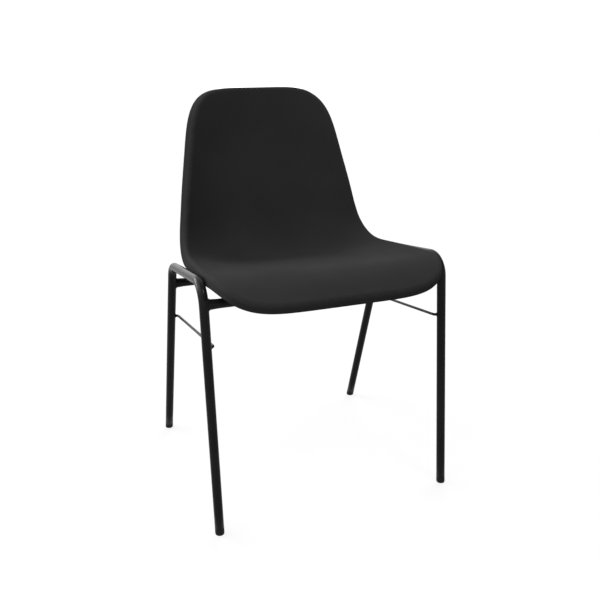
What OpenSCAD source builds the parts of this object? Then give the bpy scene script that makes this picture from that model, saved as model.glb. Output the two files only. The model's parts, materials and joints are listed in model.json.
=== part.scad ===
// Stacking chair: a moulded bucket shell screwed to a welded frame of bent steel tube.
// The origin is on the floor under the middle of the chair. Seen from the front, +X points to
// the right, +Y points to the back of the chair and +Z is up.

/* [Tube frame] */
// Distance between the centre lines of the left and right side frames
frame_width = 440; // [420:1:470]
// Outer diameter of the main tube
tube_d = 16; // [14:0.5:20]
// Wall thickness of every tube
tube_wall = 1.5; // [1:0.1:2]
// Radius of the two bends of a side frame, at the centre line
bend_r = 36; // [30:1:45]
// Distance on the floor between a front foot and a rear foot
feet_spacing = 409; // [390:1:430]
// How far the feet's midpoint lies behind the middle of the chair
feet_offset = 5.4; // [0:0.1:20]
// How far a front leg leans back from its foot to the front corner of the rail
front_leg_rake = 47; // [30:1:60]
// Height where the front leg's line meets the rail's line
front_corner_z = 439.5; // [430:0.5:450]
// How far a rear leg leans forward from its foot to the rear corner of the rail
rear_leg_rake = 137; // [120:1:150]
// Height where the rear leg's line meets the rail's line
rear_corner_z = 406.5; // [400:0.5:415]
// Height of the front cross tube on the front legs
front_bar_z = 402.5; // [398:0.5:405]
// Height of the rear cross tube on the rear legs
rear_bar_z = 368; // [350:0.5:372]
// Height of a cross tube's flattened end
bar_end_height = 18.6; // [16:0.1:20]
// Depth of a cross tube's flattened end
bar_end_depth = 13; // [11:0.1:16]
// Length over which a cross tube's end is flattened
bar_end_length = 26; // [15:1:40]

/* [Stacking rods] */
// Diameter of the rod
rod_d = 5; // [4:0.5:6]
// Distance from the centre line of the side frame in to the rod
rod_offset = 12.5; // [11:0.5:16]
// Height of the rod's end on the front leg
rod_front_z = 331.5; // [320:0.5:345]
// Height of the rod's end on the rear leg
rod_rear_z = 293.5; // [280:0.5:305]
// Radius of the rod's end bends, at the centre line
rod_bend_r = 9.5; // [4:0.5:10]

/* [Seat shell outline] */
// Height of the seat's front edge
shell_front_z = 417; // [412:0.5:422]
// Distance from the feet's midpoint forward to the seat's front edge
shell_reach = 237; // [230:0.5:245]
// Length of the seat along its profile, up to the bend
seat_run = 253; // [248:1:258]
// Length of the bend between seat and back, along the profile
bend_run = 194; // [185:1:205]
// Length of the back along the profile, above the bend
back_run = 218; // [200:1:240]
// Length over which the front lip rolls down
lip_run = 114; // [100:1:120]
// Half width at the front edge; each station below is a sixth of the profile further on
front_half_w = 209; // [204:1:212]
// Half width at the second station, where the front lip ends
lip_half_w = 205; // [200:1:206]
// Half width at the third station, in the seat
seat_half_w = 196; // [190:1:198]
// Half width halfway along the profile, in the bend
bend_half_w = 185; // [180:1:188]
// Half width at the fifth station, just above the bend
lumbar_half_w = 167; // [160:1:172]
// Half width at the sixth station, in the back
back_half_w = 150; // [144:1:156]
// Half width at the top of the back
top_half_w = 145; // [138:1:150]
// Squareness of the front corners: 2 is an ellipse, higher is squarer
front_squareness = 5.8; // [4:0.1:7]
// Squareness of the top corners
top_squareness = 5.2; // [4:0.1:7]

/* [Seat shell form] */
// Upward slope at the very front edge, in degrees
lip_slope = 33; // [25:1:38]
// Backward fall of the seat, in degrees
seat_fall = 10.5; // [8:0.5:12]
// Slope of the back just above the bend, in degrees from level
back_low_slope = 72; // [69:0.5:75]
// Slope of the back at its top, in degrees from level
back_top_slope = 78.5; // [75:0.5:82]
// Rise of the side edges over the centre line at the second station; the front edge has none
lip_dish = 6; // [3:1:9]
// Rise of the side edges at the third station, in the seat
seat_dish = 15; // [12:1:18]
// Rise of the side edges in the bend
bend_dish = 23; // [18:1:28]
// Rise of the side edges just above the bend
lumbar_dish = 28; // [22:1:32]
// Rise of the side edges in the back
back_dish = 30; // [24:1:36]
// Rise of the side edges at the top of the back
top_dish = 35; // [28:1:40]
// How sharply the dish turns up towards the side edges
dish_power = 3.2; // [2.4:0.1:4]
// Thickness of the moulded wall
shell_wall = 4; // [3:0.5:4.5]
// Radius of the rounding into the rim, at the front edge
front_rim_r = 8.5; // [6:0.5:10]
// Radius of the rounding into the rim, round the back
back_rim_r = 7; // [5.5:0.5:9]
// Depth of the rim's straight part, at the front edge
front_rim_depth = 11; // [8:0.5:12]
// Depth of the rim's straight part, round the back
back_rim_depth = 13; // [9:0.5:14]
// How far the rim flares outward, in degrees
rim_flare = 5; // [0:1:8]

/* [Fixings] */
// Distance between the left and right seat screws
screw_spacing = 220; // [180:1:240]
// Diameter of the seat screws
screw_d = 6; // [5:0.5:6]
// Outer diameter of a screw boss under the shell
boss_d = 22; // [18:1:26]
// Outer diameter of a threaded insert
insert_d = 9; // [8.5:0.5:10]
// Length of a threaded insert
insert_length = 10; // [8:0.5:11]

/* [Feet] */
// Length of a glide that shows below the end of its leg
glide_length = 12; // [8:1:16]
// Length of a glide's stem inside the leg
glide_stem = 20; // [12:1:30]

/* [Hidden] */
$fn = 64;

plastic_black = [0.06, 0.06, 0.065];
paint_black = [0.09, 0.09, 0.09];
zinc = [0.72, 0.73, 0.75];
brass = [0.72, 0.56, 0.26];

LEFT = -1;
RIGHT = 1;

// Thickness of a slice that stands for an outline inside hull()
sliver = 0.01;

// ---------- Lines of the side frame, as [y, z] ----------

side_x = frame_width / 2;
tube_r = tube_d / 2;
bore_r = tube_r - tube_wall;
weld_gap = 0.1;

// A bend is a hair fuller than the straight tube, whose end runs on inside the bend's wall
bend_swell = 0.04;
bend_overlap = 0.8;

front_foot = [feet_offset - feet_spacing / 2, 0];
rear_foot = [feet_offset + feet_spacing / 2, 0];
front_corner = [front_foot[0] + front_leg_rake, front_corner_z];
rear_corner = [rear_foot[0] - rear_leg_rake, rear_corner_z];

function unit(v) = v / norm(v);
function on_leg(foot, corner, z) = [foot[0] + (corner[0] - foot[0]) * z / corner[1], z];

front_up = unit(front_corner - front_foot);
rail_back = unit(rear_corner - front_corner);
rear_down = unit(rear_foot - rear_corner);

function setback(d_in, d_out) = bend_r * tan(acos(d_in * d_out) / 2);

front_bar = on_leg(front_foot, front_corner, front_bar_z);
rear_bar = on_leg(rear_foot, rear_corner, rear_bar_z);
rod_front = on_leg(front_foot, front_corner, rod_front_z);
rod_rear = on_leg(rear_foot, rear_corner, rod_rear_z);

// ---------- Round bars and tubes ----------

// Solid round bar from point a to point b
module bar(a, b, r) {
    d = b - a;
    translate(a)
        rotate([0, acos(d[2] / norm(d)), atan2(d[1], d[0])])
            cylinder(h = norm(d), r = r);
}

// Point in the plane of a side frame
function at_x(x, yz) = [x, yz[0], yz[1]];

// Straight stretch of tube in the plane x, between two [y, z] points; each end may run on
module tube(x, a, b, on_a = 0, on_b = 0) {
    d = b - a;
    translate(at_x(x, a))
        rotate([-atan2(d[0], d[1]), 0, 0])
            translate([0, 0, -on_a])
                rotate([0, 0, -90])
                    linear_extrude(norm(d) + on_a + on_b)
                        ring(0);
}

// The tube's section, with its wall thickened by swell on both faces
module ring(swell) {
    difference() {
        circle(r = tube_r + swell);
        circle(r = bore_r - swell);
    }
}

// Bend that turns the tube downwards from direction d_in to direction d_out at a corner
module tube_bend(x, corner, d_in, d_out) {
    turn = acos(d_in * d_out);
    inward = [d_in[1], -d_in[0]];
    centre = corner - d_in * setback(d_in, d_out) + inward * bend_r;
    translate(at_x(x, centre))
        rotate([90, 0, 90])
            rotate([0, 0, atan2(-inward[1], -inward[0]) - turn])
                rotate_extrude(angle = turn, $fn = 96)
                    translate([bend_r, 0])
                        ring(bend_swell);
}

// ---------- Side frames ----------

// Front leg, side rail and rear leg: one length of tube with two bends
module side_frame(side) {
    x = side * side_x;
    front_setback = setback(front_up, rail_back);
    rear_setback = setback(rail_back, rear_down);
    color(paint_black) {
        tube(x, front_foot + front_up * glide_length, front_corner - front_up * front_setback,
             0, bend_overlap);
        tube_bend(x, front_corner, front_up, rail_back);
        tube(x, front_corner + rail_back * front_setback, rear_corner - rail_back * rear_setback,
             bend_overlap, bend_overlap);
        tube_bend(x, rear_corner, rail_back, rear_down);
        tube(x, rear_corner + rear_down * rear_setback, rear_foot - rear_down * glide_length,
             bend_overlap, 0);
    }
}

// ---------- Cross tubes ----------

// The squeezed end is a hair fuller than the round tube, whose end runs on inside its wall
end_swell = 0.05;

// Space that a pair of legs takes from what is welded against them
module leg_space(foot, corner) {
    for (side = [LEFT, RIGHT])
        bar(at_x(side * side_x, foot), at_x(side * side_x, corner), tube_r + weld_gap);
}

// Core of a cross tube's end: round where it joins the tube, a tall oval at the leg
module flattened_end(side, round_r, inset) {
    hull() {
        translate([side * (side_x - bar_end_length), 0, 0])
            rotate([90, 0, 90])
                linear_extrude(sliver, center = true)
                    circle(r = round_r, $fn = 48);
        translate([side * side_x, 0, 0])
            rotate([90, 0, 90])
                linear_extrude(sliver, center = true)
                    scale([bar_end_depth / 2 - inset, bar_end_height / 2 - inset])
                        circle(r = 1, $fn = 48);
    }
}

module crossbar(at, foot, corner) {
    round_half = side_x - bar_end_length + 0.5;
    color(paint_black)
        difference() {
            union() {
                translate([-round_half, at[0], at[1]])
                    rotate([90, 0, 90])
                        linear_extrude(2 * round_half)
                            ring(0);
                for (side = [LEFT, RIGHT])
                    translate(at_x(0, at))
                        difference() {
                            flattened_end(side, tube_r + end_swell, 0);
                            flattened_end(side, bore_r - 2 * end_swell, tube_wall);
                        }
            }
            leg_space(foot, corner);
            for (side = [LEFT, RIGHT])
                translate(at_x(side * screw_spacing / 2, at))
                    cylinder(h = 2 * tube_d, r = screw_hole_r, center = true);
        }
}

// ---------- Stacking rods ----------

// Rod beside the legs, turned out at both ends to be welded to their inner faces
module stacking_rod(side) {
    rod_r = rod_d / 2;
    along = unit(rod_rear - rod_front);
    inner_x = side * (side_x - rod_offset);
    elbow_x = inner_x + side * rod_bend_r;
    tilt = atan2(along[1], along[0]);
    run_on = 0.3;
    color(paint_black)
        difference() {
            union() {
                bar(at_x(inner_x, rod_front + along * (rod_bend_r - run_on)),
                    at_x(inner_x, rod_rear - along * (rod_bend_r - run_on)), rod_r);
                for (end = [[rod_front, 1], [rod_rear, -1]]) {
                    translate(at_x(elbow_x, end[0] + along * end[1] * rod_bend_r))
                        rotate([tilt, 0, 0])
                            mirror([side < 0 ? 1 : 0, 0, 0])
                                mirror([0, end[1] > 0 ? 0 : 1, 0])
                                    rotate([0, 0, 180])
                                        rotate_extrude(angle = 90, $fn = 96)
                                            translate([rod_bend_r, 0])
                                                circle(r = rod_r + bend_swell);
                    bar(at_x(elbow_x - side * run_on, end[0]), at_x(side * side_x, end[0]), rod_r);
                }
            }
            leg_space(front_foot, front_corner);
            leg_space(rear_foot, rear_corner);
        }
}

// ---------- Glides ----------

glide_edge = 2.5;

// Level slice through a leaning leg at height z, drawn in by inset
module leg_slice(foot, corner, z, inset) {
    lean = atan2(corner[0] - foot[0], corner[1]);
    translate([0, on_leg(foot, corner, z)[0], z])
        linear_extrude(sliver)
            scale([tube_r - inset, tube_r / cos(lean) - inset])
                circle(r = 1, $fn = 48);
}

// Plastic glide: a plug as thick as the tube, level underneath, with a ribbed stem up the leg
module glide(side, foot, corner) {
    up = unit(corner - foot);
    shoulder = foot + up * glide_length;
    stem_r = bore_r - 0.6;
    rib_r = bore_r - 0.1;
    color(plastic_black)
        translate([side * side_x, 0, 0]) {
            hull() {
                leg_slice(foot, corner, 0, glide_edge * 0.6);
                leg_slice(foot, corner, glide_edge * 0.3, glide_edge * 0.2);
                leg_slice(foot, corner, glide_edge, 0);
                bar(at_x(0, shoulder - up * 2 * sliver), at_x(0, shoulder - up * sliver), tube_r);
            }
            bar(at_x(0, shoulder - up), at_x(0, shoulder + up * glide_stem), stem_r);
            for (rib = [1 : 3])
                bar(at_x(0, shoulder + up * (glide_stem * rib / 3 - 3)),
                    at_x(0, shoulder + up * (glide_stem * rib / 3 - 1)), rib_r);
        }
}

// ---------- Fixings ----------

screw_hole_r = screw_d / 2 + 0.3;
head_r = 5.5;
head_h = 3.4;
socket_r = 2.3;
socket_depth = 2;
washer_r = 7.5;
washer_h = 5;
boss_wrap = 4;
boss_rib_w = 2.5;
boss_rib_reach = 9;
insert_lift = 1;

// Button-head screw, pushed up through the cross tube into the shell's insert
module seat_screw(side, at) {
    seat_z = at[1] - tube_r - 2;
    tip_z = at[1] + tube_r + insert_lift + insert_length + 1;
    color(zinc)
        translate([side * screw_spacing / 2, at[0], 0])
            difference() {
                union() {
                    translate([0, 0, seat_z])
                        cylinder(h = tip_z - seat_z, r = screw_d / 2);
                    translate([0, 0, seat_z])
                        mirror([0, 0, 1])
                            rotate_extrude()
                                intersection() {
                                    square([head_r, head_h]);
                                    translate([0, head_h - 2 * head_r])
                                        circle(r = 2 * head_r);
                                }
                }
                translate([0, 0, seat_z - head_h])
                    cylinder(h = socket_depth, r = socket_r, $fn = 6);
            }
}

// Washer with a hollow top that fits the round cross tube
module saddle_washer(side, at) {
    color(plastic_black)
        translate([side * screw_spacing / 2, at[0], at[1]])
            difference() {
                translate([0, 0, -tube_r - 2])
                    cylinder(h = washer_h, r = washer_r);
                rotate([0, 90, 0])
                    cylinder(h = 4 * washer_r, r = tube_r + weld_gap, center = true);
                cylinder(h = 4 * tube_r, r = screw_hole_r, center = true);
            }
}

// Threaded insert moulded into a boss of the shell
module insert(side, at) {
    color(brass)
        translate([side * screw_spacing / 2, at[0], at[1] + tube_r + insert_lift])
            difference() {
                union() {
                    cylinder(h = insert_length, r = insert_d / 2 - 0.4);
                    cylinder(h = insert_length * 0.4, r = insert_d / 2);
                    translate([0, 0, insert_length * 0.6])
                        cylinder(h = insert_length * 0.4, r = insert_d / 2);
                }
                translate([0, 0, -1])
                    cylinder(h = insert_length + 2, r = screw_d / 2 + 0.05);
            }
}

// ---------- Seat shell: profile ----------

profile_length = seat_run + bend_run + back_run;
profile_steps = 340;
profile_step = profile_length / profile_steps;

function smooth(t) = let (u = max(0, min(1, t))) u * u * (3 - 2 * u);

// Slope of the centre profile at distance s from the front edge
function slope_at(s) = lip_slope
    - (lip_slope + seat_fall) * smooth(s / lip_run)
    + (seat_fall + back_low_slope) * smooth((s - seat_run) / bend_run)
    + (back_top_slope - back_low_slope) * smooth((s - seat_run - bend_run) / back_run);

// The centre profile as [y, z] points one step apart
profile = [
    for (i = 0, y = feet_offset - shell_reach, z = shell_front_z;
         i <= profile_steps;
         y = y + profile_step * cos(slope_at((i + 0.5) * profile_step)),
         z = z + profile_step * sin(slope_at((i + 0.5) * profile_step)),
         i = i + 1)
        [y, z]
];

function on_profile(s) = let (
    k = max(0, min(profile_steps - 1, floor(s / profile_step))),
    f = s / profile_step - k
) profile[k] * (1 - f) + profile[k + 1] * f;

half_widths = [
    front_half_w, lip_half_w, seat_half_w, bend_half_w, lumbar_half_w, back_half_w, top_half_w,
];
dishes = [0, lip_dish, seat_dish, bend_dish, lumbar_dish, back_dish, top_dish];

// Smooth curve through equally spaced stations of the profile
function beyond(v, i) = i < 0 ? 2 * v[0] - v[1]
    : i < len(v) ? v[i]
    : 2 * v[i - 1] - v[i - 2];
function station(v, s) = let (
    t = max(0, min(1, s / profile_length)) * (len(v) - 1),
    i = min(floor(t), len(v) - 2),
    f = t - i,
    a = beyond(v, i - 1),
    b = v[i],
    c = v[i + 1],
    d = beyond(v, i + 2)
) b + f / 2 * (c - a + f * (2 * a - 5 * b + 4 * c - d + f * (3 * b - 3 * c + d - a)));

// ---------- Seat shell: surface ----------

// Point of the sitter's side; p runs from -1 to 1 across and q from -1 at the front to 1 at the top
function sitter_side(p, q) = let (
    s = (q + 1) / 2 * profile_length,
    yz = on_profile(s),
    slope = slope_at(s),
    rise = station(dishes, s) * pow(abs(p), dish_power)
) [station(half_widths, s) * p, yz[0] - sin(slope) * rise, yz[1] + cos(slope) * rise];

// Unit normal towards the sitter
function normal_at(p, q) = let (e = 0.01)
    unit(cross(sitter_side(p + e, q) - sitter_side(p - e, q),
               sitter_side(p, q + e) - sitter_side(p, q - e)));

// Maps the square [-1, 1] x [-1, 1] onto the shell's rounded outline
function rounded(u, v) = let (
    big = max(abs(u), abs(v)),
    ratio = big == 0 ? 0 : min(abs(u), abs(v)) / big,
    toward_top = big == 0 ? 0 : v / norm([u, v]),
    n = front_squareness + (top_squareness - front_squareness) * smooth((toward_top + 0.6) / 1.2)
) [u, v] * pow(1 + pow(ratio, n), -1 / n);

// ---------- Seat shell: mesh ----------

cells = 32;
half_cells = cells / 2;
grid = cells + 1;
loop = 4 * cells;

// Grid line i, spaced closer towards the edges
function line(i) = sin(45 * (i / half_cells - 1)) / sin(45);
function grid_pq(i, j) = rounded(line(i), line(j));

top_points = [for (i = [0 : cells]) for (j = [0 : cells])
    let (pq = grid_pq(i, j)) sitter_side(pq[0], pq[1])];
under_points = [for (i = [0 : cells]) for (j = [0 : cells])
    let (pq = grid_pq(i, j))
        sitter_side(pq[0], pq[1]) - shell_wall * normal_at(pq[0], pq[1])];

// Grid place of step k round the outline, counter-clockwise from the front right corner
function loop_ij(k) = let (side = floor((k % loop) / cells), t = k % cells)
    side == 0 ? [cells, t]
    : side == 1 ? [cells - t, cells]
    : side == 2 ? [0, cells - t]
    : [t, 0];

function edge_point(k) = let (ij = loop_ij(k)) top_points[ij[0] * grid + ij[1]];

// At the edge: [outward along the surface, towards the sitter, rim radius, depth of the skirt]
function edge_frame(k) = let (
    ij = loop_ij(k),
    pq = grid_pq(ij[0], ij[1]),
    inside = pq * 0.985,
    along = unit(edge_point(k + 1) - edge_point(k + loop - 1)),
    away = edge_point(k) - sitter_side(inside[0], inside[1]),
    out = unit(away - (away * along) * along),
    backward = smooth((pq[1] + 1) / 2 * profile_length / seat_run)
) [
    out,
    cross(out, along),
    front_rim_r + (back_rim_r - front_rim_r) * backward,
    front_rim_depth + (back_rim_depth - front_rim_depth) * backward,
];

edge_frames = [for (k = [0 : loop - 1]) edge_frame(k)];

// The rim in section: nearly a quarter round, then a straight skirt; a stop is [angle, part of skirt]
rim_turn = 90 - rim_flare;
rim_arc_steps = 4;
rim_stops = [
    for (step = [1 : rim_arc_steps]) [rim_turn * step / rim_arc_steps, 0],
    [rim_turn, 1],
];
rims = len(rim_stops);

// Rim point at loop step k; depth is how far it lies inside the wall
function rim_point(k, stop, depth) = let (
    out = edge_frames[k][0],
    up = edge_frames[k][1],
    rim_r = edge_frames[k][2],
    a = stop[0],
    down = stop[1] * edge_frames[k][3]
) edge_point(k)
    + out * (rim_r * sin(a) - depth * sin(a) + down * cos(a))
    - up * (rim_r * (1 - cos(a)) + depth * cos(a) + down * sin(a));

outer_rim = [for (stop = rim_stops) for (k = [0 : loop - 1]) rim_point(k, stop, 0)];
inner_rim = [for (stop = rim_stops) for (k = [0 : loop - 1]) rim_point(k, stop, shell_wall)];

grid_count = grid * grid;
rim_count = rims * loop;

// Rings run from the sitter's side, round the rim and back to the underside
function ring_index(r, k) = let (ij = loop_ij(k), at = ij[0] * grid + ij[1])
    r == 0 ? at
    : r <= rims ? grid_count + (r - 1) * loop + k % loop
    : r <= 2 * rims ? 2 * grid_count + rim_count + (2 * rims - r) * loop + k % loop
    : grid_count + rim_count + at;

// Two triangles for the cell a, b, c, d, split from a to c
function cell(a, b, c, d) = [[a, c, b], [a, d, c]];

function grid_cell(i, j, base) = let (
    a = base + i * grid + j,
    b = base + (i + 1) * grid + j,
    c = b + 1,
    d = a + 1
) (i - half_cells + 0.5) * (j - half_cells + 0.5) > 0 ? cell(a, b, c, d) : cell(b, c, d, a);

function flip(faces) = [for (f = faces) [f[0], f[2], f[1]]];

shell_faces = [
    for (i = [0 : cells - 1]) for (j = [0 : cells - 1]) each grid_cell(i, j, 0),
    for (r = [0 : 2 * rims]) for (k = [0 : loop - 1])
        each cell(ring_index(r, k), ring_index(r + 1, k),
                  ring_index(r + 1, k + 1), ring_index(r, k + 1)),
    for (i = [0 : cells - 1]) for (j = [0 : cells - 1])
        each flip(grid_cell(i, j, grid_count + rim_count)),
];

module shell_skin() {
    polyhedron(points = concat(top_points, outer_rim, under_points, inner_rim),
               faces = shell_faces, convexity = 6);
}

// ---------- Seat shell: screw bosses ----------

s_of_y = [for (i = [0 : profile_steps / 2]) [profile[i][0], i * profile_step]];

// Boss from the cross tube up into the shell's wall, with a blind hole for the insert
module boss(side, at) {
    x = side * screw_spacing / 2;
    s = lookup(at[0], s_of_y);
    p = x / station(half_widths, s);
    q = 2 * s / profile_length - 1;
    up = normal_at(p, q);
    middle = sitter_side(p, q) - up * shell_wall / 2;
    bottom = at[1] + boss_wrap;
    rib_bottom = at[1] + tube_r + 2;
    rib_top = middle[2] + boss_rib_reach;
    difference() {
        union() {
            translate([x, at[0], bottom])
                cylinder(h = 3 * boss_d, r = boss_d / 2);
            for (turn = [0 : 90 : 270])
                translate([x, at[0], 0])
                    rotate([90, 0, turn])
                        linear_extrude(boss_rib_w, center = true)
                            polygon([
                                [0, rib_bottom], [boss_d / 2, rib_bottom],
                                [boss_d / 2 + boss_rib_reach, middle[2] - 2 * shell_wall],
                                [boss_d / 2 + boss_rib_reach, rib_top], [0, rib_top],
                            ]);
        }
        translate(middle)
            rotate([0, acos(up[2]), atan2(up[1], up[0])])
                translate([-3 * boss_d, -3 * boss_d, 0])
                    cube([6 * boss_d, 6 * boss_d, 6 * boss_d]);
        translate(at_x(x, at))
            rotate([0, 90, 0])
                cylinder(h = 2 * boss_d, r = tube_r + weld_gap, center = true);
        translate([x, at[0], bottom - 1])
            cylinder(h = tube_r - boss_wrap + 1 + insert_lift + insert_length + 2,
                     r = insert_d / 2 + 0.05);
    }
}

module seat_shell() {
    color(plastic_black) {
        shell_skin();
        for (side = [LEFT, RIGHT])
            for (at = [front_bar, rear_bar])
                boss(side, at);
    }
}

// ---------- Nodes ----------

seat_shell();

side_frame(LEFT);  // left_side_frame
side_frame(RIGHT);  // right_side_frame
crossbar(front_bar, front_foot, front_corner);  // front_crossbar
crossbar(rear_bar, rear_foot, rear_corner);  // rear_crossbar

stacking_rod(LEFT);  // left_stacking_rod
stacking_rod(RIGHT);  // right_stacking_rod

glide(LEFT, front_foot, front_corner);  // front_left_glide
glide(RIGHT, front_foot, front_corner);  // front_right_glide
glide(LEFT, rear_foot, rear_corner);  // rear_left_glide
glide(RIGHT, rear_foot, rear_corner);  // rear_right_glide

seat_screw(LEFT, front_bar);  // front_left_seat_screw
seat_screw(RIGHT, front_bar);  // front_right_seat_screw
seat_screw(LEFT, rear_bar);  // rear_left_seat_screw
seat_screw(RIGHT, rear_bar);  // rear_right_seat_screw

saddle_washer(LEFT, front_bar);  // front_left_saddle_washer
saddle_washer(RIGHT, front_bar);  // front_right_saddle_washer
saddle_washer(LEFT, rear_bar);  // rear_left_saddle_washer
saddle_washer(RIGHT, rear_bar);  // rear_right_saddle_washer

insert(LEFT, front_bar);  // front_left_insert
insert(RIGHT, front_bar);  // front_right_insert
insert(LEFT, rear_bar);  // rear_left_insert
insert(RIGHT, rear_bar);  // rear_right_insert
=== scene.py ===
"""Stacking chair: the visual model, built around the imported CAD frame. Lengths are in metres."""

import json
import math

import bpy
import numpy as np
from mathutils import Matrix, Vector


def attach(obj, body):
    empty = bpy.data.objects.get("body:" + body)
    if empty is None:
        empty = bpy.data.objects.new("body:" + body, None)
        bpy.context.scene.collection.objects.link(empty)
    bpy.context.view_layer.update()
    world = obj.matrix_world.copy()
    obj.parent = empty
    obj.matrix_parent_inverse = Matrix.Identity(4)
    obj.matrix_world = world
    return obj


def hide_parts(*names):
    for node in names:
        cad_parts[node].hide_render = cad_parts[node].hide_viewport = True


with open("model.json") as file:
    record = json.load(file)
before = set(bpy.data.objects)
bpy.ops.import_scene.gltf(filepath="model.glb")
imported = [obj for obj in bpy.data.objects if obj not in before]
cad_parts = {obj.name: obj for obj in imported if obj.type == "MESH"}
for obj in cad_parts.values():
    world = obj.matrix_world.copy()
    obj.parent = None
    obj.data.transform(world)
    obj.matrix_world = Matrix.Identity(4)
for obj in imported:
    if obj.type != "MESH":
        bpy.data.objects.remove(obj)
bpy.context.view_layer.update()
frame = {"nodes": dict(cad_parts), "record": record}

MM = 0.001
SIDES = {"left": -1, "right": 1}  # Which way each side lies along x.

# ---------- Driving dimensions: the feet come from the frame, the rest repeats the CAD source ----------

MOUNTS = {m["name"]: m["pos_m"] for m in frame["record"]["mounts"]}
SIDE_X = MOUNTS["front_right_foot"][0]
FRONT_FOOT = np.array([MOUNTS["front_right_foot"][1], 0.0])
REAR_FOOT = np.array([MOUNTS["rear_right_foot"][1], 0.0])

TUBE_R = 8 * MM
BORE_R = 6.5 * MM
BEND_R = 36 * MM
BEND_FLATTENING = 0.02
TUBE_END_LIP = 0.35 * MM
TUBE_SIDES, ROD_SIDES, BEAD_SIDES = 48, 24, 12
FRONT_CORNER = FRONT_FOOT + [47 * MM, 439.5 * MM]
REAR_CORNER = REAR_FOOT + [-137 * MM, 406.5 * MM]
FRONT_BAR_Z = 402.5 * MM
REAR_BAR_Z = 368 * MM
BAR_END_LENGTH = 26 * MM
BAR_END_HALF_HEIGHT = 9.3 * MM
BAR_END_HALF_DEPTH = 6.5 * MM
WELD_GAP = 0.1 * MM
# Half depth and half height of the end that is welded to a leg, and the bead's radius.
BAR_WELD = (6.6 * MM, 9.2 * MM, 1.2 * MM)
ROD_WELD = (2.8 * MM, 2.5 * MM, 0.9 * MM)

ROD_R = 2.5 * MM
ROD_OFFSET = 12.5 * MM  # From the leg's centre line inwards to the rod's.
ROD_FRONT_Z = 331.5 * MM
ROD_REAR_Z = 293.5 * MM
ROD_BEND_R = 9.5 * MM

SCREW_X = 110 * MM
BOSS_R = 11 * MM
BOSS_FLARE = 3 * MM
BOSS_WRAP = 4 * MM  # How far above the cross tube's centre line the boss's lower rim stays.
BOSS_RIB_W = 2.5 * MM
BOSS_RIB_REACH = 9 * MM
INSERT_R = 4.5 * MM
INSERT_BORE = 13 * MM
GLIDE_LENGTH = 12 * MM
GLIDE_STEM = 20 * MM
GLIDE_EDGE = 2.5 * MM

SHELL_WALL = 4 * MM
FRONT_RIM_R, BACK_RIM_R = 8.5 * MM, 7 * MM
FRONT_RIM_DEPTH, BACK_RIM_DEPTH = 11 * MM, 13 * MM
RIM_FLARE = math.radians(5)
RIM_LIP_R = 1.4 * MM
# The profile runs along the middle of the sitter's side, from the front edge to the top. Slopes in degrees.
SEAT_RUN, BEND_RUN, BACK_RUN, LIP_RUN = 253 * MM, 194 * MM, 218 * MM, 114 * MM
PROFILE_LENGTH = SEAT_RUN + BEND_RUN + BACK_RUN
LIP_SLOPE, SEAT_FALL, BACK_LOW_SLOPE, BACK_TOP_SLOPE = 33.0, 10.5, 72.0, 78.5
# Half widths, and how far the sides rise out of the dish, at equal steps along the profile.
HALF_WIDTHS = np.array([209, 205, 196, 185, 167, 150, 145]) * MM
DISHES = np.array([0, 6, 15, 23, 28, 30, 35]) * MM
DISH_POWER = 3.2
FRONT_SQUARENESS, TOP_SQUARENESS = 5.8, 5.2
SHELL_FRONT_Z = 417 * MM
SHELL_REACH = 237 * MM  # From the chair's middle forwards to the shell's front edge.
CHAIR_MIDDLE_Y = (FRONT_FOOT[0] + REAR_FOOT[0]) / 2
SHELL_FRONT_Y = CHAIR_MIDDLE_Y - SHELL_REACH
SHELL_CELLS = 96
PROFILE_STEPS = 680


# ---------- Small geometry helpers ----------

def unit(v):
    v = np.asarray(v, float)
    return v / np.linalg.norm(v, axis=-1, keepdims=True)


def smooth(t):
    t = np.clip(t, 0.0, 1.0)
    return t * t * (3 - 2 * t)


def in_side_plane(x, yz):
    """Point [x, y, z] from a place in the plane of a side frame."""
    return np.array([x, yz[0], yz[1]])


def on_leg(foot, corner, z):
    return foot + (corner - foot) * z / corner[1]


FRONT_UP = unit(FRONT_CORNER - FRONT_FOOT)
RAIL_BACK = unit(REAR_CORNER - FRONT_CORNER)
REAR_DOWN = unit(REAR_FOOT - REAR_CORNER)
FRONT_BAR = on_leg(FRONT_FOOT, FRONT_CORNER, FRONT_BAR_Z)
REAR_BAR = on_leg(REAR_FOOT, REAR_CORNER, REAR_BAR_Z)
# Each leg's foot and the corner at its top, where its centre line meets the rail's.
LEGS = {"front": (FRONT_FOOT, FRONT_CORNER), "rear": (REAR_FOOT, REAR_CORNER)}
BARS = {"front": FRONT_BAR, "rear": REAR_BAR}
ROD_ENDS = {"front": on_leg(FRONT_FOOT, FRONT_CORNER, ROD_FRONT_Z),
            "rear": on_leg(REAR_FOOT, REAR_CORNER, ROD_REAR_Z)}


def add_to_scene(name, data):
    made = bpy.data.objects.new(name, data)
    bpy.context.scene.collection.objects.link(made)
    return made


def make_object(name, points, faces, material, sharp=None):
    """A smooth-shaded mesh object that rides on the chair's body; edges over sharp degrees stay hard."""
    mesh = bpy.data.meshes.new(name)
    mesh.from_pydata([tuple(p) for p in points], [], [tuple(int(i) for i in f) for f in faces])
    mesh.validate()
    mesh.shade_smooth()
    mesh.materials.append(material)
    if sharp is not None:
        mesh.set_sharp_from_angle(angle=math.radians(sharp))
    piece = add_to_scene(name, mesh)
    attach(piece, "root")
    return piece


def stand_for(cad_node):
    """The piece is shown instead of that CAD node, which is hidden."""
    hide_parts(cad_node)


def ring_faces(rings, count, closed=True, first=0):
    """Quads between successive rings of count points each; closed joins the last ring to the first."""
    faces = []
    last = rings if closed else rings - 1
    for r in range(last):
        a = first + r * count
        b = first + ((r + 1) % rings) * count
        for k in range(count):
            n = (k + 1) % count
            faces.append((a + k, a + n, b + n, b + k))
    return faces


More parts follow.
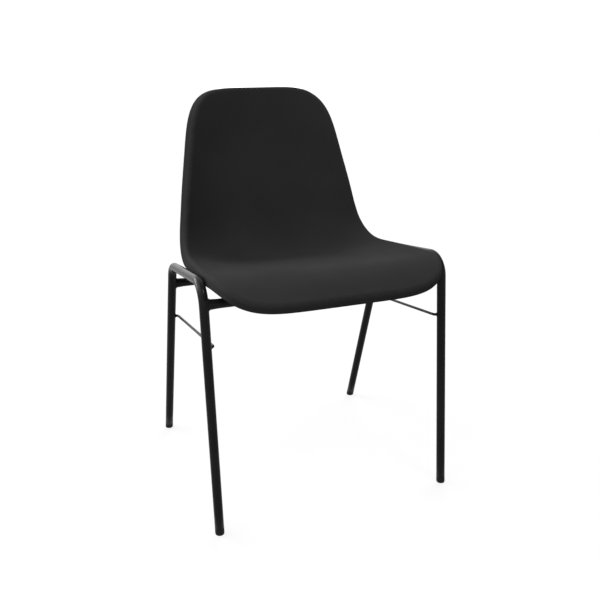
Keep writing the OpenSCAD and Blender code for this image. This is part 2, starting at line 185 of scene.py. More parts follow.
def end_caps(rings, count, first=0):
    """Faces over the first and the last of successive rings of count points each."""
    last = first + (rings - 1) * count
    return [tuple(range(first, first + count))[::-1], tuple(range(last, last + count))]


def add_attribute(piece, name, values):
    layer = piece.data.attributes.new(name, "FLOAT", "POINT")
    layer.data.foreach_set("value", np.asarray(values, np.float32))


# ---------- Tubes ----------

def circle(count):
    turn = np.linspace(0, 2 * math.pi, count, endpoint=False)
    return np.cos(turn), np.sin(turn)


def hollow_tube(name, stations, material):
    """A tube of wall TUBE_R - BORE_R through stations (centre, across, out, squash), with rounded ends.

    across and out are the section's unit axes; squash scales its size along (across, out).
    """
    cos, sin = circle(TUBE_SIDES)
    outer = []
    inner = []
    for centre, across, out, squash in stations:
        section = squash[0] * cos[:, None] * across + squash[1] * sin[:, None] * out
        outer.append(centre + TUBE_R * section)
        inner.append(centre + BORE_R * section)

    def rounded_end(ring, centre, next_centre):
        """The end ring moved inward by the rounding, and the smaller ring that closes the wall."""
        inward = unit(next_centre - centre)
        return ring + inward * TUBE_END_LIP, centre + (ring - centre) * (1 - TUBE_END_LIP / TUBE_R)

    outer[0], start_face = rounded_end(outer[0], stations[0][0], stations[1][0])
    outer[-1], end_face = rounded_end(outer[-1], stations[-1][0], stations[-2][0])
    rings = outer + [end_face] + inner[::-1] + [start_face]
    faces = ring_faces(len(rings), TUBE_SIDES)
    return make_object(name, np.concatenate(rings), faces, material, sharp=50)


def arc_stations(x, corner, d_in, d_out, steps):
    """Centres and directions round a bend of radius BEND_R at a corner of the side frame."""
    turn = math.acos(float(d_in @ d_out))
    inward = np.array([d_in[1], -d_in[0]])
    centre = corner - d_in * BEND_R * math.tan(turn / 2) + inward * BEND_R
    stations = []
    for k in range(steps + 1):
        a = turn * k / steps
        out = -inward * math.cos(a) + d_in * math.sin(a)
        flat = 1 - BEND_FLATTENING * math.sin(math.pi * k / steps)
        stations.append((in_side_plane(x, centre + out * BEND_R), np.array([1.0, 0, 0]),
                         np.array([0, out[0], out[1]]), (2 - flat, flat)))
    return stations


def straight_stations(x, a, b, steps):
    """Stations along a straight stretch of the side frame, from a to b."""
    along = unit(b - a)
    out = np.array([0, -along[1], along[0]])
    return [(in_side_plane(x, a + (b - a) * k / steps), np.array([1.0, 0, 0]), out, (1, 1))
            for k in range(steps + 1)]


def side_frame(name, side, material):
    """Front leg, side rail and rear leg: one length of tube with two bends."""
    x = side * SIDE_X
    bend_steps, leg_steps, rail_steps = 24, 12, 8
    front = arc_stations(x, FRONT_CORNER, FRONT_UP, RAIL_BACK, bend_steps)
    rear = arc_stations(x, REAR_CORNER, RAIL_BACK, REAR_DOWN, bend_steps)
    foot = FRONT_FOOT + FRONT_UP * GLIDE_LENGTH
    heel = REAR_FOOT - REAR_DOWN * GLIDE_LENGTH
    start, turn_end = front[0][0][1:], front[-1][0][1:]
    rail_end, fall = rear[0][0][1:], rear[-1][0][1:]
    stations = straight_stations(x, foot, start, leg_steps)[:-1]
    stations += front
    stations += straight_stations(x, turn_end, rail_end, rail_steps)[1:-1]
    stations += rear
    stations += straight_stations(x, fall, heel, leg_steps)[1:]
    piece = hollow_tube(name + "_tube", stations, material)
    stand_for(name)


def leg_surface_depth(foot, corner, dy, dz):
    """How far a leg's surface lies sideways from its centre line, at (dy, dz) from a point on that line."""
    along = unit(corner - foot)
    across = dy * along[1] - dz * along[0]
    r = TUBE_R + WELD_GAP
    return np.sqrt(np.maximum(r * r - across * across, 0.0))


def crossbar(name, which, material):
    """Round tube whose ends are pressed to a tall oval and cut to fit the legs."""
    foot, corner = LEGS[which]
    bar = BARS[which]
    cos, sin = circle(TUBE_SIDES)
    end_steps, middle_steps = 10, 8
    round_half = SIDE_X - BAR_END_LENGTH

    def end_rings(side, r0):
        rings = []
        for k in range(end_steps + 1):
            t = k / end_steps
            pressed = smooth(t * 0.8)
            dy = (r0 + (BAR_END_HALF_DEPTH - TUBE_R) * pressed) * cos
            dz = (r0 + (BAR_END_HALF_HEIGHT - TUBE_R) * pressed) * sin
            end = SIDE_X - leg_surface_depth(foot, corner, dy, dz)
            x = round_half + (end - round_half) * t
            rings.append(np.stack([side * x, bar[0] + dy, bar[1] + dz], -1))
        return rings

    rings = []
    for r0, flip in ((TUBE_R, 1), (BORE_R, -1)):
        left = end_rings(-flip, r0)[::-1]
        right = end_rings(flip, r0)
        middle = [np.stack([np.full(TUBE_SIDES, flip * x), bar[0] + r0 * cos, bar[1] + r0 * sin], -1)
                  for x in np.linspace(-round_half, round_half, middle_steps + 1)[1:-1]]
        rings += left + middle + right
    faces = ring_faces(len(rings), TUBE_SIDES)
    piece = make_object(name + "_tube", np.concatenate(rings), faces, material, sharp=50)
    stand_for(name)


def capped_rod(name, centres, across, radius, material):
    """Solid round rod along a flat path; across is the unit normal of the path's plane."""
    cos, sin = circle(ROD_SIDES)
    tangents = unit(np.gradient(centres, axis=0))
    rings = []
    for centre, tangent in zip(centres, tangents):
        out = np.cross(tangent, across)
        rings.append(centre + radius * (cos[:, None] * across + sin[:, None] * out))
    faces = ring_faces(len(rings), ROD_SIDES, closed=False)
    faces += end_caps(len(rings), ROD_SIDES)
    return make_object(name, np.concatenate(rings), faces, material, sharp=50)


def elbow_turn(distance):
    """How far round a rod's end bend the rod comes within that sideways distance of the leg's centre."""
    return math.asin(max(0.0, 1 - (ROD_OFFSET - distance) / ROD_BEND_R))


def stacking_rod(name, side, material):
    """Thin rod beside the legs, with both ends turned out to them."""
    front, rear = ROD_ENDS["front"], ROD_ENDS["rear"]
    along = in_side_plane(0, unit(rear - front))
    outward = np.array([side, 0.0, 0.0])
    sunk = 1.5 * MM
    elbow_points = 10

    def elbow(end, run):
        corner = in_side_plane(side * (SIDE_X - ROD_OFFSET), end)
        middle = corner + (outward + run) * ROD_BEND_R
        turn = np.linspace(elbow_turn(TUBE_R - sunk), math.pi / 2, elbow_points)[:, None]
        return middle - ROD_BEND_R * (np.sin(turn) * outward + np.cos(turn) * run)

    path = np.concatenate([elbow(front, along), elbow(rear, -along)[::-1]])
    piece = capped_rod(name + "_bar", path, np.cross(along, outward), ROD_R, material)
    stand_for(name)


def rod_end(which):
    """Where a rod meets the leg's surface, in the plane of the side frame."""
    other = ROD_ENDS["rear" if which == "front" else "front"]
    run = unit(other - ROD_ENDS[which])
    return ROD_ENDS[which] + run * ROD_BEND_R * (1 - math.cos(elbow_turn(TUBE_R)))


# ---------- Weld beads ----------

def bead(name, path, spine, radius, material):
    """A closed bead of weld along path; spine is the unit direction in which its section bulges."""
    ripples = 2 * round(len(path) / 8)
    ripple_height, ripple_skew = 0.07, 0.9
    phase = np.linspace(0, 2 * math.pi, len(path), endpoint=False)
    tangents = unit(np.roll(path, -1, 0) - np.roll(path, 1, 0))
    side = unit(np.cross(tangents, spine))
    cos, sin = circle(BEAD_SIDES)
    rings = []
    for k in range(len(path)):
        crown = radius * (1 + ripple_height * np.cos(ripples * phase[k] + ripple_skew * np.abs(cos)))
        rings.append(path[k] + crown[:, None] * (cos[:, None] * side[k] + sin[:, None] * spine[k]))
    piece = make_object(name, np.concatenate(rings), ring_faces(len(rings), BEAD_SIDES), material)


def joint_weld(name, side, which, at, weld, material):
    """Bead round an oval end, where it meets a leg."""
    foot, corner = LEGS[which]
    half_depth, half_height, radius = weld
    path_points, lift = 128, 0.15
    along = unit(corner - foot)
    cos, sin = circle(path_points)
    dy, dz = half_depth * cos, half_height * sin
    reach = leg_surface_depth(foot, corner, dy, dz)
    path = np.stack([side * (SIDE_X - reach), at[0] + dy, at[1] + dz], -1)
    across = dy * along[1] - dz * along[0]
    leg_out = np.stack([-side * reach, across * along[1], -across * along[0]], -1)
    end_out = np.stack([0 * cos, cos / half_depth, sin / half_height], -1)
    spine = unit(unit(leg_out) + unit(end_out))
    bead(name, path + spine * radius * lift, spine, radius, material)


# ---------- Glides ----------

def glide(name, side, which, material):
    """Plug as thick as the tube, level underneath, with a ribbed stem up the leg."""
    foot, corner = LEGS[which]
    up = in_side_plane(0, unit(corner - foot))
    across = np.array([1.0, 0, 0])
    lean = np.cross(up, across)
    base = in_side_plane(side * SIDE_X, foot)
    cos, sin = circle(TUBE_SIDES)

    def ring(radius, length=None, height=None):
        """A ring across the leg at a length along it, or one whose points all lie at a height."""
        offset = radius * (cos[:, None] * across + sin[:, None] * lean)
        if length is None:
            length = (height - offset[:, 2]) / up[2]
        return base + offset + np.reshape(length, (-1, 1)) * up

    rings = []
    edge_steps = 6
    edge_inset = 0.6 * GLIDE_EDGE
    for k in range(edge_steps + 1):
        a = math.pi / 2 * k / edge_steps
        inset = edge_inset * (1 - math.sin(a))
        rings.append(ring(TUBE_R - inset, height=GLIDE_EDGE * (1 - math.cos(a))))
    stem = BORE_R - 0.6 * MM
    rib = BORE_R - 0.1 * MM
    chamfer = 0.35 * MM
    shoulder = GLIDE_LENGTH - 0.02 * MM
    profile = [(TUBE_R, GLIDE_LENGTH - chamfer), (TUBE_R - chamfer, shoulder), (stem, shoulder)]
    ribs = 3
    for k in range(1, ribs + 1):
        crest = GLIDE_LENGTH + GLIDE_STEM * k / ribs - 2 * MM
        profile += [(stem, crest - 1 * MM), (rib, crest - 0.6 * MM),
                    (rib, crest + 0.6 * MM), (stem, crest + 1 * MM)]
    profile += [(stem, GLIDE_LENGTH + GLIDE_STEM - 1 * MM), (stem - 1 * MM, GLIDE_LENGTH + GLIDE_STEM)]
    rings += [ring(radius, length=length) for radius, length in profile]
    faces = ring_faces(len(rings), TUBE_SIDES, closed=False)
    faces += end_caps(len(rings), TUBE_SIDES)
    piece = make_object(name + "_plug", np.concatenate(rings), faces, material, sharp=35)
    stand_for(name)


# ---------- Shell surface ----------

def slope_at(s):
    """Slope of the profile in radians, a length s along it."""
    degrees = (LIP_SLOPE
               - (LIP_SLOPE + SEAT_FALL) * smooth(s / LIP_RUN)
               + (SEAT_FALL + BACK_LOW_SLOPE) * smooth((s - SEAT_RUN) / BEND_RUN)
               + (BACK_TOP_SLOPE - BACK_LOW_SLOPE) * smooth((s - SEAT_RUN - BEND_RUN) / BACK_RUN))
    return np.radians(degrees)


def profile_curve():
    """Lengths along the profile, and the y and z that it reaches there."""
    s = np.linspace(0, PROFILE_LENGTH, PROFILE_STEPS + 1)
    slope = slope_at((s[1:] + s[:-1]) / 2)
    y = SHELL_FRONT_Y + np.concatenate([[0], np.cumsum(np.cos(slope) * s[1])])
    z = SHELL_FRONT_Z + np.concatenate([[0], np.cumsum(np.sin(slope) * s[1])])
    return s, y, z


PROFILE_S, PROFILE_Y, PROFILE_Z = profile_curve()


def station(v, s):
    """Smooth curve through equally spaced stations of the profile."""
    v = np.concatenate([[2 * v[0] - v[1]], v, [2 * v[-1] - v[-2]]])
    t = np.clip(s / PROFILE_LENGTH, 0, 1) * (len(v) - 3)
    i = np.minimum(t.astype(int), len(v) - 4)
    f = t - i
    a, b, c, d = v[i], v[i + 1], v[i + 2], v[i + 3]
    return b + f / 2 * (c - a + f * (2 * a - 5 * b + 4 * c - d + f * (3 * b - 3 * c + d - a)))


def sitter_side(p, q):
    """Points of the sitter's side; p runs from -1 to 1 across, q from -1 at the front to 1 at the top.

    Past its ends the profile is carried on straight.
    """
    p, q = np.broadcast_arrays(np.asarray(p, float), np.asarray(q, float))
    s = (q + 1) / 2 * PROFILE_LENGTH
    slope = slope_at(np.clip(s, 0, PROFILE_LENGTH))
    rise = station(DISHES, s) * np.abs(p) ** DISH_POWER
    over = np.maximum(s - PROFILE_LENGTH, 0) + np.minimum(s, 0)
    y = np.interp(s, PROFILE_S, PROFILE_Y) + over * np.cos(slope)
    z = np.interp(s, PROFILE_S, PROFILE_Z) + over * np.sin(slope)
    return np.stack([station(HALF_WIDTHS, s) * p, y - np.sin(slope) * rise, z + np.cos(slope) * rise], -1)


def normal_at(p, q):
    """Unit normals towards the sitter."""
    step = 0.01
    return unit(np.cross(sitter_side(p + step, q) - sitter_side(p - step, q),
                         sitter_side(p, q + step) - sitter_side(p, q - step)))


def rounded(u, v):
    """Maps the square [-1, 1] x [-1, 1] onto the shell's rounded outline."""
    big = np.maximum(np.abs(u), np.abs(v))
    safe = np.where(big == 0, 1, big)
    ratio = np.minimum(np.abs(u), np.abs(v)) / safe
    toward_top = v / np.where(big == 0, 1, np.hypot(u, v))
    n = FRONT_SQUARENESS + (TOP_SQUARENESS - FRONT_SQUARENESS) * smooth((toward_top + 0.6) / 1.2)
    k = (1 + ratio ** n) ** (-1 / n)
    return u * k, v * k


def rim_rings(edge, edge_p, edge_q):
    """Rings from the shell's edge over the rim's bend and lip to the underside, and each ring's wear."""
    just_inside = 0.985
    away = edge - sitter_side(edge_p * just_inside, edge_q * just_inside)
    along = unit(np.roll(edge, -1, 0) - np.roll(edge, 1, 0))
    out = unit(away - np.sum(away * along, 1, keepdims=True) * along)
    up = np.cross(out, along)

    backward = smooth((edge_q + 1) / 2 * PROFILE_LENGTH / SEAT_RUN)[:, None]
    radius = FRONT_RIM_R + (BACK_RIM_R - FRONT_RIM_R) * backward
    straight = FRONT_RIM_DEPTH + (BACK_RIM_DEPTH - FRONT_RIM_DEPTH) * backward - RIM_LIP_R
    turn = math.pi / 2 - RIM_FLARE

    def rim(angle, down, depth):
        """The edge carried round the rim's bend by angle and on down, at a depth under the outer skin."""
        across = (radius - depth) * math.sin(angle) + down * math.cos(angle)
        drop = radius * (1 - math.cos(angle)) + depth * math.cos(angle) + down * math.sin(angle)
        return edge + out * across - up * drop

    bend_steps, straight_steps, lip_steps = 10, 5, 4
    rings = [rim(turn * k / bend_steps, 0, 0) for k in range(1, bend_steps + 1)]
    rings += [rim(turn, straight * k / straight_steps, 0) for k in range(1, straight_steps + 1)]
    lip_start = len(rings)
    for k in range(1, lip_steps + 1):
        a = math.pi / 2 * k / lip_steps
        rings.append(rim(turn, straight + RIM_LIP_R * math.sin(a), RIM_LIP_R * (1 - math.cos(a))))
    for k in range(lip_steps + 1):
        a = math.pi / 2 * k / lip_steps
        depth = SHELL_WALL - RIM_LIP_R + RIM_LIP_R * math.sin(a)
        rings.append(rim(turn, straight + RIM_LIP_R * math.cos(a), depth))
    lip_end = len(rings)
    rings += [rim(turn, straight * k / straight_steps, SHELL_WALL) for k in range(straight_steps)[::-1]]
    rings += [rim(turn * k / bend_steps, 0, SHELL_WALL) for k in range(1, bend_steps)[::-1]]

    from_bend_middle = np.abs(np.arange(bend_steps + 1) - (bend_steps - 1) / 2)
    wear = np.zeros(len(rings))
    wear[:bend_steps + 1] = 1 - from_bend_middle / 6
    wear[lip_start:lip_end] = 0.8
    return rings, wear


def shell_mesh(cells):
    """Points, faces and edge wear of the whole shell: sitter's side, underside and rim."""
    # Grid lines lie closer together towards the edges.
    spread = math.radians(45)
    line = np.sin(spread * (np.arange(cells + 1) / (cells / 2) - 1)) / math.sin(spread)
    u, v = np.meshgrid(line, line, indexing="ij")
    p, q = rounded(u, v)
    top = sitter_side(p, q)
    under = top - SHELL_WALL * normal_at(p, q)
    grid = cells + 1

    t = np.arange(cells)
    full, none = np.full(cells, cells), np.zeros(cells, int)
    loop_i = np.concatenate([full, cells - t, none, t])
    loop_j = np.concatenate([t, full, cells - t, none])
    loop = len(loop_i)
    rings, rim_wear = rim_rings(top[loop_i, loop_j], p[loop_i, loop_j], q[loop_i, loop_j])
    points = np.concatenate([top.reshape(-1, 3), under.reshape(-1, 3)] + rings)
    first_ring = 2 * grid * grid

    def cell_faces(first, flip):
        faces = []
        for i in range(cells):
            for j in range(cells):
                a = first + i * grid + j
                quad = (a, a + grid, a + grid + 1, a + 1)
                faces.append(quad[::-1] if flip else quad)
        return faces

    faces = cell_faces(0, False) + cell_faces(grid * grid, True)
    loops = [loop_i * grid + loop_j]
    loops += [first_ring + r * loop + np.arange(loop) for r in range(len(rings))]
    loops += [grid * grid + loop_i * grid + loop_j]
    for a, b in zip(loops[:-1], loops[1:]):
        for k in range(loop):
            n = (k + 1) % loop
            faces.append((a[k], b[k], b[n], a[n]))

    wear = np.concatenate([np.zeros(first_ring), np.repeat(rim_wear, loop)])
    wear[loops[0]] = rim_wear[0]
    return points, faces, wear


def under_height(x, y):
    """Height of the shell's underside above a place, found by walking along the profile."""
    s = np.interp(y, PROFILE_Y, PROFILE_S)
    walks = 8
    for _ in range(walks):
        p = x / station(HALF_WIDTHS, s)
        at = sitter_side(p, 2 * s / PROFILE_LENGTH - 1)
        s = s + (y - at[..., 1]) / np.cos(slope_at(s))
    up = normal_at(p, 2 * s / PROFILE_LENGTH - 1)
    return at[..., 2] - SHELL_WALL / up[..., 2]


def boss_rib(axis, turn, lowest, sunk):
    """Sections, with bevelled lower corners, of a rib that runs out from a boss and rises to its tip."""
    out = np.array([math.cos(turn), math.sin(turn), 0])
    wide = np.array([-math.sin(turn), math.cos(turn), 0])
    reach = BOSS_R + BOSS_RIB_REACH
    tip = axis + out * reach
    tip_low = min(float(under_height(tip[0], tip[1])) - 3 * MM, lowest + 12 * MM)
    half = BOSS_RIB_W / 2
    thin = half - 0.3 * MM
    bevel = 0.5 * MM
    sections = []
    for r, low in ((BOSS_R - 1 * MM, lowest), (reach - 1 * MM, tip_low - bevel), (reach, tip_low)):
        at = axis + out * r
        high = float(under_height(at[0], at[1])) + sunk
        outline = ((-half, high), (-half, low + bevel), (-thin, low),
                   (thin, low), (half, low + bevel), (half, high))
        sections.append([at + wide * w + [0, 0, z] for w, z in outline])
    return np.array(sections)


def boss(name, side, which, material):
    """Hollow post with four ribs under the shell, cut away underneath to sit on the cross tube."""
    bar = BARS[which]
    x0, y0 = side * SCREW_X, bar[0]
    cos, sin = circle(TUBE_SIDES)
    sunk = 1.5 * MM

    def ring(radius, height):
        x, y = x0 + radius * cos, y0 + radius * sin
        return np.stack([x, y, np.broadcast_to(height(x, y), x.shape)], -1)

    def seat_on_tube(x, y):
        clear = TUBE_R + WELD_GAP
        return bar[1] + np.maximum(BOSS_WRAP, np.sqrt(np.maximum(clear ** 2 - (y - y0) ** 2, 0)))

    rings = [ring(BOSS_R + BOSS_FLARE + 0.5 * MM, lambda x, y: under_height(x, y) + sunk)]
    flare_steps = 6
    for k in range(flare_steps + 1):
        a = math.pi / 2 * k / flare_steps
        spread, drop = BOSS_FLARE * (1 - math.sin(a)), BOSS_FLARE * (1 - math.cos(a))
        rings.append(ring(BOSS_R + spread, lambda x, y: under_height(x, y) + 0.2 * MM - drop))
    chamfer = 0.4 * MM
    rings += [ring(BOSS_R, lambda x, y: seat_on_tube(x, y) + chamfer),
              ring(BOSS_R - chamfer, seat_on_tube)]
    rings += [ring(r * MM, seat_on_tube) for r in (9, 8, 7, 6, 5)]
    rings += [ring(INSERT_R, seat_on_tube), ring(INSERT_R, lambda x, y: bar[1] + TUBE_R + INSERT_BORE)]
    points = [np.concatenate(rings)]
    faces = ring_faces(len(rings), TUBE_SIDES, closed=False)
    faces += end_caps(len(rings), TUBE_SIDES)

    first = len(rings) * TUBE_SIDES
    for quarter in range(4):
        rib = boss_rib(np.array([x0, y0, 0]), quarter * math.pi / 2, bar[1] + TUBE_R + 2 * MM, sunk)
        sections, corners = rib.shape[:2]
        points.append(rib.reshape(-1, 3))
        faces += ring_faces(sections, corners, closed=False, first=first)
        faces += end_caps(sections, corners, first)
        first += sections * corners
    piece = make_object(name, np.concatenate(points), faces, material, sharp=40)


def seat_shell(material):
    points, faces, wear = shell_mesh(SHELL_CELLS)
    piece = make_object("seat_shell_moulding", points, faces, material)
    add_attribute(piece, "edge_wear", wear)
    stand_for("seat_shell")


# ---------- Materials ----------

def new_material(name):
    """A Principled material: the material, its node tree, its shader and the piece's own coordinates."""
    material = bpy.data.materials.new(name)
    material.use_nodes = True
    tree = material.node_tree
    tree.nodes.clear()
    output = tree.nodes.new("ShaderNodeOutputMaterial")
    shader = tree.nodes.new("ShaderNodeBsdfPrincipled")
    tree.links.new(shader.outputs["BSDF"], output.inputs["Surface"])
    place = tree.nodes.new("ShaderNodeTexCoord").outputs["Object"]
    return material, tree, shader, place


def node(tree, kind, **values):
    """A node with those inputs or settings."""
    made = tree.nodes.new(kind)
    for key, value in values.items():
        if key in made.inputs:
            made.inputs[key].default_value = value
        else:
            setattr(made, key, value)
    return made


def noise(tree, place, scale, detail, rough=0.5):
    made = node(tree, "ShaderNodeTexNoise", Scale=scale, Detail=detail, Roughness=rough)
    tree.links.new(place, made.inputs["Vector"])
    return made.outputs["Fac"]


def remap(tree, value, low, high, to_low, to_high):
    """The value stretched from low..high to to_low..to_high, where to_high may be a socket."""
    made = tree.nodes.new("ShaderNodeMapRange")
    made.inputs["From Min"].default_value = low
    made.inputs["From Max"].default_value = high
    made.inputs["To Min"].default_value = to_low
    if isinstance(to_high, bpy.types.NodeSocket):
        tree.links.new(to_high, made.inputs["To Max"])
    else:
        made.inputs["To Max"].default_value = to_high
    tree.links.new(value, made.inputs["Value"])
    return made.outputs["Result"]


def mix_colour(tree, factor, a, b):
    """A mix of two colours, each a tuple or a socket."""
    made = tree.nodes.new("ShaderNodeMix")
    made.data_type = "RGBA"
    for socket, value in (("A", a), ("B", b)):
        if isinstance(value, tuple):
            made.inputs[socket].default_value = (*value, 1)
        else:
            tree.links.new(value, made.inputs[socket])
    tree.links.new(factor, made.inputs["Factor"])
    return made.outputs["Result"]


def mottled(tree, cloud, a, b):
    """Soft patches of two colours."""
    return mix_colour(tree, remap(tree, cloud, 0.35, 0.65, 0.0, 1.0), a, b)


def bump(tree, height, distance):
    made = node(tree, "ShaderNodeBump", Strength=1.0, Distance=distance)
    tree.links.new(height, made.inputs["Height"])
    return made.outputs["Normal"]


def dress(tree, shader, colour, roughness, normal):
    """Feeds the shader's colour, roughness and normal."""
    for name, value in (("Base Color", colour), ("Roughness", roughness), ("Normal", normal)):
        tree.links.new(value, shader.inputs[name])


def frame_paint():
    """Satin black powder coat with a faint orange peel."""
    material, tree, shader, place = new_material("frame_paint")
    cloud = noise(tree, place, 14.0, 4.0)
    peel = noise(tree, place, 420.0, 2.0)
    dress(tree, shader,
          mottled(tree, cloud, (0.0043, 0.0043, 0.0044), (0.0055, 0.0055, 0.0056)),
          remap(tree, cloud, 0.3, 0.7, 0.22, 0.27),
          bump(tree, peel, 0.05 * MM))
    shader.inputs["Specular IOR Level"].default_value = 0.06
    return material


def shell_plastic():
    """Black polypropylene with a fine spark-eroded grain, a little polished on the edges."""
    material, tree, shader, place = new_material("shell_plastic")
    cloud = noise(tree, place, 9.0, 4.0)
    grain = noise(tree, place, 1500.0, 2.0, 0.6)
    wear = node(tree, "ShaderNodeAttribute", attribute_name="edge_wear").outputs["Fac"]
    patches = remap(tree, noise(tree, place, 140.0, 4.0), 0.4, 0.65, 0.0, 1.0)
    product = node(tree, "ShaderNodeMath", operation="MULTIPLY")
    tree.links.new(wear, product.inputs[0])
    tree.links.new(patches, product.inputs[1])
    polish = product.outputs["Value"]
    fresh = mottled(tree, cloud, (0.0118, 0.0118, 0.0121), (0.0136, 0.0136, 0.0139))
    dress(tree, shader,
          mix_colour(tree, polish, fresh, (0.015, 0.015, 0.0153)),
          remap(tree, polish, 0.0, 1.0, 0.64, 0.5),
          bump(tree, grain, 0.08 * MM))
    shader.inputs["Specular IOR Level"].default_value = 0.0002
    return material


def glide_plastic():
    """Black polyethylene, a little scuffed."""
    material, tree, shader, place = new_material("glide_plastic")
    cloud = noise(tree, place, 160.0, 4.0)
    dress(tree, shader,
          mottled(tree, cloud, (0.0042, 0.0042, 0.0044), (0.0062, 0.0062, 0.0064)),
          remap(tree, cloud, 0.3, 0.7, 0.45, 0.58),
          bump(tree, cloud, 0.05 * MM))
    shader.inputs["Specular IOR Level"].default_value = 0.08
    return material


def zinc_steel():
    """Zinc-plated steel with a mottled skin."""
    material, tree, shader, place = new_material("zinc_steel")
    cloud = noise(tree, place, 500.0, 4.0)
    dress(tree, shader,
          mottled(tree, cloud, (0.52, 0.53, 0.55), (0.66, 0.67, 0.69)),
          remap(tree, cloud, 0.3, 0.7, 0.25, 0.42),
          bump(tree, cloud, 0.02 * MM))
    shader.inputs["Metallic"].default_value = 1.0
    return material


def turned_brass():
    """Turned brass with fine rings of tool marks."""
    material, tree, shader, place = new_material("insert_brass")
    wave = node(tree, "ShaderNodeTexWave", bands_direction="Z", Scale=900.0, Distortion=1.5)
    tree.links.new(place, wave.inputs["Vector"])
    marks = wave.outputs["Fac"]
    dress(tree, shader,
          mix_colour(tree, marks, (0.62, 0.47, 0.22), (0.74, 0.59, 0.31)),
          remap(tree, marks, 0.0, 1.0, 0.3, 0.4),
          bump(tree, marks, 0.02 * MM))
    shader.inputs["Metallic"].default_value = 1.0
    return material


def finish_cad_node(name, material):
    """Gives its finish to a CAD node that is shown as it is."""
    for slot in frame["nodes"][name].material_slots:
        slot.material = material


# ---------- The chair ----------

PAINT = frame_paint()
PLASTIC = shell_plastic()
GLIDE = glide_plastic()
ZINC = zinc_steel()
BRASS = turned_brass()

seat_shell(PLASTIC)
for side_name, side in SIDES.items():
    side_frame(side_name + "_side_frame", side, PAINT)
    stacking_rod(side_name + "_stacking_rod", side, PAINT)
    for which in LEGS:
        place = which + "_" + side_name
        glide(place + "_glide", side, which, GLIDE)
        boss(place + "_boss", side, which, PLASTIC)
        joint_weld(place + "_crossbar_weld", side, which, BARS[which], BAR_WELD, PAINT)
        joint_weld(place + "_rod_weld", side, which, rod_end(which), ROD_WELD, PAINT)
        for kind, material in (("_seat_screw", ZINC), ("_saddle_washer", GLIDE), ("_insert", BRASS)):
            finish_cad_node(place + kind, material)
for which in BARS:
    crossbar(which + "_crossbar", which, PAINT)

# ---------- Studio ----------

CAMERA_PLACE = Vector((-0.4889, CHAIR_MIDDLE_Y - 1.2566, 0.7937))
CAMERA_YAW = math.radians(21.636)
CAMERA_PITCH = math.radians(18.881)
CAMERA_LENS, CAMERA_SENSOR = 44.43, 36

FLOOR_R = 14.0
FLOOR_GLOW = 0.79
HORIZON_LIGHT, HIGH_FRONT_LIGHT, BACK_LEFT_LIGHT, BACK_RIGHT_LIGHT = 1.6, 0.25, 3.4, 1.6
# Sky lights: name, angle round from the front towards the chair's right, angle up, spread, strength,
# and whether glossy surfaces mirror it.
SKY_LIGHTS = (("rear_left_light", 225, 20, 40, 4.8, True),
              ("rear_right_light", 135, 27, 55, 6.6, False),
              ("left_light", 270, 50, 40, 2.3, True),
              ("front_fill", 315, 50, 60, 0.9, True))
# Softboxes: name, place, the point that it faces, side and watts.
SOFTBOXES = (("key_softbox", (0.54, -1.33, 2.45), (0, 0, 0.4), 0.3, 26),
             ("left_softbox", (-2.2, -0.7, 1.3), (0, 0, 0.5), 1.2, 6))


def point_along(made, direction):
    """Turns a light to shine in a direction."""
    made.rotation_euler = direction.to_track_quat("-Z", "Y").to_euler()


def camera():
    data = bpy.data.cameras.new("camera")
    data.lens = CAMERA_LENS
    data.sensor_width = CAMERA_SENSOR
    data.sensor_fit = "HORIZONTAL"
    data.clip_end = 50
    made = add_to_scene("camera", data)
    made.location = CAMERA_PLACE
    made.rotation_euler = (math.pi / 2 - CAMERA_PITCH, 0, -CAMERA_YAW)
    bpy.context.scene.camera = made


def floor_material():
    """Matt grey floor with a trace of mottling, glowing so that it shows white."""
    material, tree, shader, place = new_material("studio_floor")
    colour = mix_colour(tree, noise(tree, place, 1.5, 2.0), (0.063, 0.063, 0.063), (0.069, 0.069, 0.069))
    tree.links.new(colour, shader.inputs["Base Color"])
    shader.inputs["Roughness"].default_value = 0.9
    shader.inputs["Specular IOR Level"].default_value = 0.0
    shader.inputs["Emission Color"].default_value = (1, 1, 1, 1)
    shader.inputs["Emission Strength"].default_value = FLOOR_GLOW
    return material


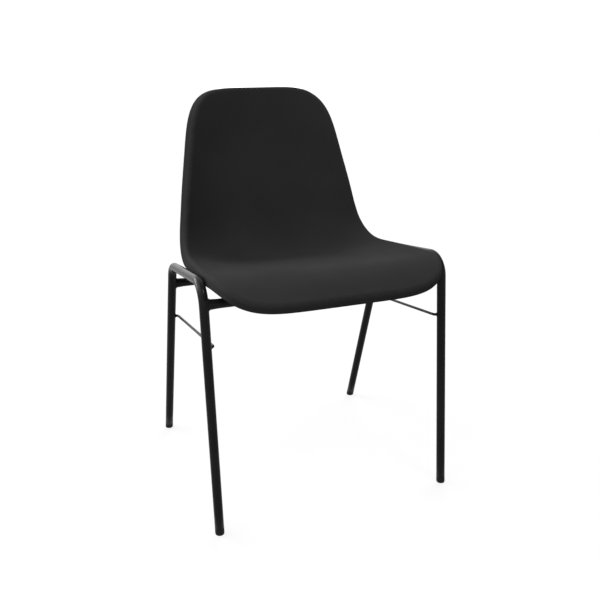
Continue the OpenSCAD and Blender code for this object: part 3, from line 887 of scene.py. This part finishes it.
def floor():
    """Round floor, wide enough to fill every view."""
    sides = 64
    cos, sin = circle(sides)
    mesh = bpy.data.meshes.new("studio_floor")
    mesh.from_pydata([(FLOOR_R * c, FLOOR_R * v, 0) for c, v in zip(cos, sin)], [], [tuple(range(sides))])
    mesh.materials.append(floor_material())
    made = add_to_scene("studio_floor", mesh)


def softbox(name, place, target, side, watts):
    data = bpy.data.lights.new(name, "AREA")
    data.shape = "SQUARE"
    data.size = side
    data.energy = watts
    made = add_to_scene(name, data)
    made.location = place
    point_along(made, Vector(target) - Vector(place))


def sky_light(name, around, up, spread, strength, mirrored):
    """A far, wide, soft light; angles are in degrees."""
    data = bpy.data.lights.new(name, "SUN")
    data.energy = strength
    data.angle = math.radians(spread)
    made = add_to_scene(name, data)
    around, up = math.radians(around), math.radians(up)
    source = Vector((math.cos(up) * math.sin(around), -math.cos(up) * math.cos(around), math.sin(up)))
    point_along(made, -source)
    made.visible_glossy = mirrored


def world_light():
    """Surroundings that are white round the horizon and above it behind, and dim high up in front."""
    world = bpy.data.worlds.new("studio")
    world.use_nodes = True
    tree = world.node_tree
    direction = tree.nodes.new("ShaderNodeTexCoord").outputs["Generated"]
    parts = tree.nodes.new("ShaderNodeSeparateXYZ")
    tree.links.new(direction, parts.inputs["Vector"])
    behind = remap(tree, parts.outputs["Y"], -0.15, 0.5, 0.0, 1.0)
    high_back = remap(tree, parts.outputs["X"], -0.2, 0.6, BACK_LEFT_LIGHT, BACK_RIGHT_LIGHT)
    front = remap(tree, parts.outputs["Z"], 0.22, 0.38, HORIZON_LIGHT, HIGH_FRONT_LIGHT)
    back = remap(tree, parts.outputs["Z"], 0.08, 0.2, HORIZON_LIGHT, high_back)
    both = node(tree, "ShaderNodeMix")
    tree.links.new(behind, both.inputs["Factor"])
    tree.links.new(front, both.inputs["A"])
    tree.links.new(back, both.inputs["B"])
    background = tree.nodes["Background"]
    background.inputs["Color"].default_value = (1, 1, 1, 1)
    tree.links.new(both.outputs["Result"], background.inputs["Strength"])
    return world


def studio():
    scene = bpy.context.scene
    scene.world = world_light()
    scene.view_settings.view_transform = "Standard"
    for settings in SKY_LIGHTS:
        sky_light(*settings)
    for settings in SOFTBOXES:
        softbox(*settings)


camera()
floor()
studio()
